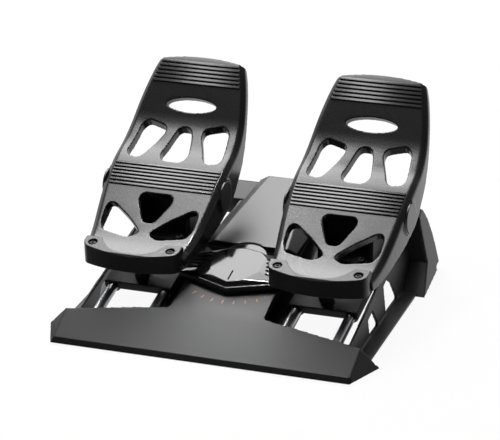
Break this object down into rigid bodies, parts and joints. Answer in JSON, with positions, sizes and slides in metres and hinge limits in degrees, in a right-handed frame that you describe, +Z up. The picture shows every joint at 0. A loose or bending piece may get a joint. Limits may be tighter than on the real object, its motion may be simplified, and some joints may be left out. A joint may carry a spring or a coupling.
{
  "type": "flight simulator rudder pedals",
  "caption": "Floor-standing rudder pedals: two foot pedals on sliding carriages linked by a rocker, each with a toe brake, over a sloping base.",
  "frame": {"origin": "centre of the footprint's bounding box, on the floor", "axes": "+X to the right seen from the user's seat, +Y away from the user towards the toes, +Z up"},
  "size_m": [0.3184, 0.2712, 0.1829],
  "materials": {
    "cover_plastic": "fine textured",
    "frame_plastic": "fine textured",
    "spine_plastic": "satin",
    "pedal_plastic": "fine textured satin",
    "rest_plastic": "satin",
    "cap_plastic": "satin",
    "gloss_black": "polished",
    "rail_steel": "polished, dark",
    "screw_steel": "zinc plated, darkened",
    "black_screw": "black oxide",
    "spring_steel": "drawn wire",
    "bearing_plastic": "natural",
    "arm_plastic": "moulded, glass filled",
    "sensor_plastic": "moulded",
    "board": "lacquered circuit board",
    "rubber": "moulded rubber",
    "mark_paint": "coloured inlay"
  },
  "bodies": {
    "base": {"front_cover": "cover_plastic", "center_beam": "frame_plastic", "spine_cover": "spine_plastic", "rear_bridge": "frame_plastic", "side_frame_left": "frame_plastic", "side_frame_right": "frame_plastic", "guide_rails_left": "rail_steel", "guide_rails_right": "rail_steel", "bottom_cover": "frame_plastic", "bottom_screws": "screw_steel", "rubber_feet": "rubber", "cable_gland": "rubber", "rocker_bearing": "bearing_plastic", "rudder_sensor": "sensor_plastic", "circuit_board": "board", "centering_spring": "spring_steel", "scale_marks": "mark_paint"},
    "rocker": {"rocker_arm": "arm_plastic", "rocker_retainer": "spring_steel", "pointer_hood": "gloss_black", "hood_screws": "screw_steel"},
    "carriage_left": {"carriage_left": "frame_plastic", "slide_bushes_left": "bearing_plastic", "drive_pin_left": "rail_steel", "pivot_pillar_left": "arm_plastic", "pillar_screws_left": "screw_steel", "brake_axle_left": "rail_steel", "brake_spring_left": "spring_steel", "brake_sensor_left": "sensor_plastic", "heel_stop_left": "rubber"},
    "carriage_right": {"carriage_right": "frame_plastic", "slide_bushes_right": "bearing_plastic", "drive_pin_right": "rail_steel", "pivot_pillar_right": "arm_plastic", "pillar_screws_right": "screw_steel", "brake_axle_right": "rail_steel", "brake_spring_right": "spring_steel", "brake_sensor_right": "sensor_plastic", "heel_stop_right": "rubber"},
    "pedal_left": {"pedal_left": "pedal_plastic", "heel_rest_left": "rest_plastic", "heel_screws_left": "black_screw", "pivot_bushes_left": "bearing_plastic", "pivot_caps_left": "cap_plastic"},
    "pedal_right": {"pedal_right": "pedal_plastic", "heel_rest_right": "rest_plastic", "heel_screws_right": "black_screw", "pivot_bushes_right": "bearing_plastic", "pivot_caps_right": "cap_plastic"}
  },
  "joints": [
    {"name": "slide_right", "type": "slide", "parent": "base", "child": "carriage_right", "axis": [0, 0.9799, 0.1994], "range_m": [-0.024, 0.024], "stiffness_N_per_m": 1200},
    {"name": "slide_left", "type": "slide", "parent": "base", "child": "carriage_left", "axis": [0, 0.9799, 0.1994], "range_m": [-0.024, 0.024]},
    {"name": "rocker_turn", "type": "hinge", "parent": "base", "child": "rocker", "pos_m": [0, -0.01095, 0.04526], "axis": [0, -0.1994, 0.9799], "range_deg": [-17.7, 17.7]},
    {"name": "toe_brake_left", "type": "hinge", "parent": "carriage_left", "child": "pedal_left", "pos_m": [-0.09, 0.02842, 0.08949], "axis": [-1, 0, 0], "range_deg": [0, 15], "stiffness_Nm_per_rad": 6},
    {"name": "toe_brake_right", "type": "hinge", "parent": "carriage_right", "child": "pedal_right", "pos_m": [0.09, 0.02842, 0.08949], "axis": [-1, 0, 0], "range_deg": [0, 15], "stiffness_Nm_per_rad": 6}
  ],
  "couplings": [
    {"joint": "slide_left", "follows": "slide_right", "ratio": -1},
    {"joint": "rocker_turn", "follows": "slide_right", "rad_per_m": 12.83}
  ]
}
